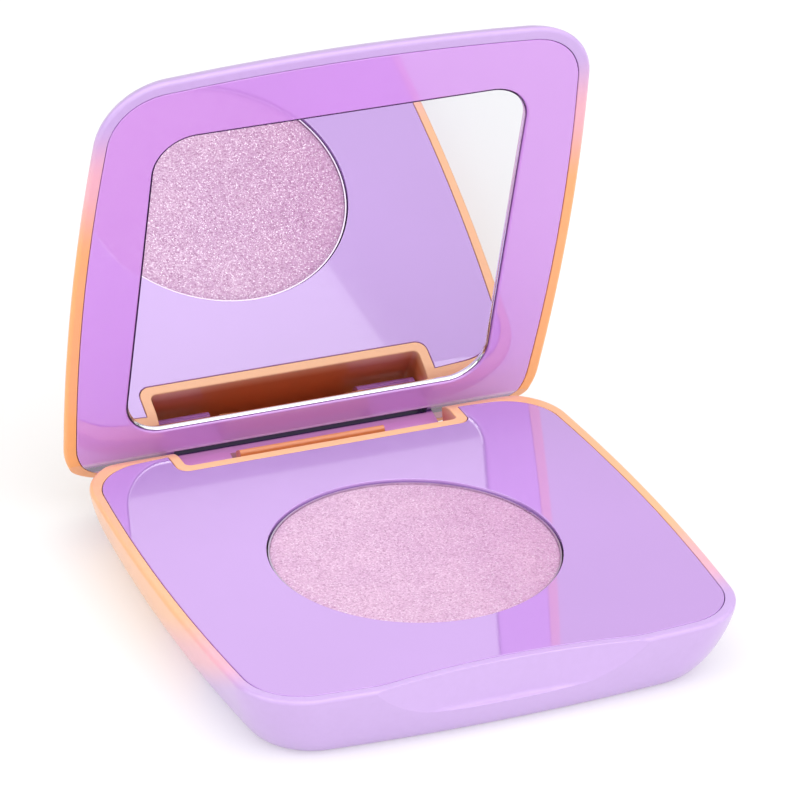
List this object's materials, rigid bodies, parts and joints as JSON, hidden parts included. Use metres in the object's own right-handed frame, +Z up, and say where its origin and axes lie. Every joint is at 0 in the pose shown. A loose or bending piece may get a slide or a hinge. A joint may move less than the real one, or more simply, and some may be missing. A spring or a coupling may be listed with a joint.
{
  "type": "powder compact",
  "caption": "Square pillow-shaped make-up compact with a round pan of pressed highlighting powder and a hinged mirror lid.",
  "frame": {"origin": "centre of the flat underside, on the surface that the compact rests on", "axes": "+Z up, +X to the right, +Y towards the hinge; the thumb scoop is at -Y"},
  "size_m": [0.0706, 0.0779, 0.0706],
  "materials": {
    "shell_plastic": "satin moulded plastic, fading from orange at the hinge to lilac at the front",
    "gloss_purple": "polished purple plastic",
    "pan_aluminium": "pressed bright aluminium",
    "powder": "pressed shimmering powder",
    "glue": "soft glue",
    "magnet_nickel": "nickel plated",
    "pin_steel": "drawn steel wire",
    "label_paper": "blank coated label",
    "mirror": "silvered glass",
    "foam_tape": "foam tape"
  },
  "bodies": {
    "base": {"base_shell": "shell_plastic", "base_faceplate": "gloss_purple", "powder_pan": "pan_aluminium", "pressed_powder": "powder", "pan_adhesive": "glue", "base_magnet_left": "magnet_nickel", "base_magnet_right": "magnet_nickel", "hinge_pin_left": "pin_steel", "hinge_pin_right": "pin_steel", "bottom_label": "label_paper"},
    "lid": {"lid_shell": "shell_plastic", "lid_inner_frame": "gloss_purple", "mirror_glass": "mirror", "mirror_adhesive": "foam_tape", "lid_magnet_left": "magnet_nickel", "lid_magnet_right": "magnet_nickel"}
  },
  "joints": [
    {"name": "lid_hinge", "type": "hinge", "parent": "base", "child": "lid", "pos_m": [0, 0.0314, 0.0045], "axis": [-1, 0, 0], "range_deg": [-75.4, 14.6]}
  ]
}
